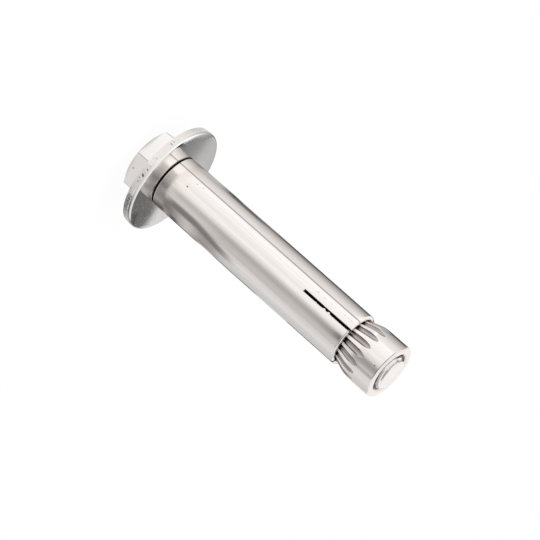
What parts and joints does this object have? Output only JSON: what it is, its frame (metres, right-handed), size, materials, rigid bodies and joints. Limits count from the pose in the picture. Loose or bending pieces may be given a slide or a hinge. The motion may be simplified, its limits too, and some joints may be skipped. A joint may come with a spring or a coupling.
{
  "type": "sleeve anchor",
  "caption": "Stainless steel sleeve anchor: a hex bolt with a wide washer draws a fluted cone nut into the slit mouth of a long expansion sleeve.",
  "frame": {"origin": "centre of the hex head's top face, on which the anchor stands", "axes": "+Z along the bolt from its head to its tip; -Y is the side of the first slit, which faces the viewer"},
  "size_m": [0.024, 0.024, 0.0677],
  "materials": {
    "bolt_steel": "bright, cold headed, with a fine satin on the flats",
    "washer_steel": "bright rolled faces, sheared rim",
    "sleeve_steel": "bright drawn tube, fine streaks along its length",
    "nut_steel": "bright pressed flutes on a tumbled blank"
  },
  "bodies": {
    "sleeve": {"expansion_sleeve": "sleeve_steel"},
    "bolt": {"hex_bolt": "bolt_steel"},
    "washer": {"flat_washer": "washer_steel"},
    "nut": {"cone_nut": "nut_steel"}
  },
  "joints": [
    {"name": "bolt_turn", "type": "hinge", "parent": "sleeve", "child": "bolt", "pos_m": [0, 0, 0], "axis": [0, 0, -1], "range_deg": [0, 2070]},
    {"name": "nut_travel", "type": "slide", "parent": "sleeve", "child": "nut", "axis": [0, 0, 1], "range_m": [0, 0.0072]},
    {"name": "washer_spin", "type": "hinge", "parent": "sleeve", "child": "washer", "pos_m": [0, 0, 0.0063], "axis": [0, 0, 1], "continuous": true}
  ],
  "couplings": [
    {"joint": "nut_travel", "follows": "bolt_turn", "m_per_rad": 0.00019894}
  ]
}
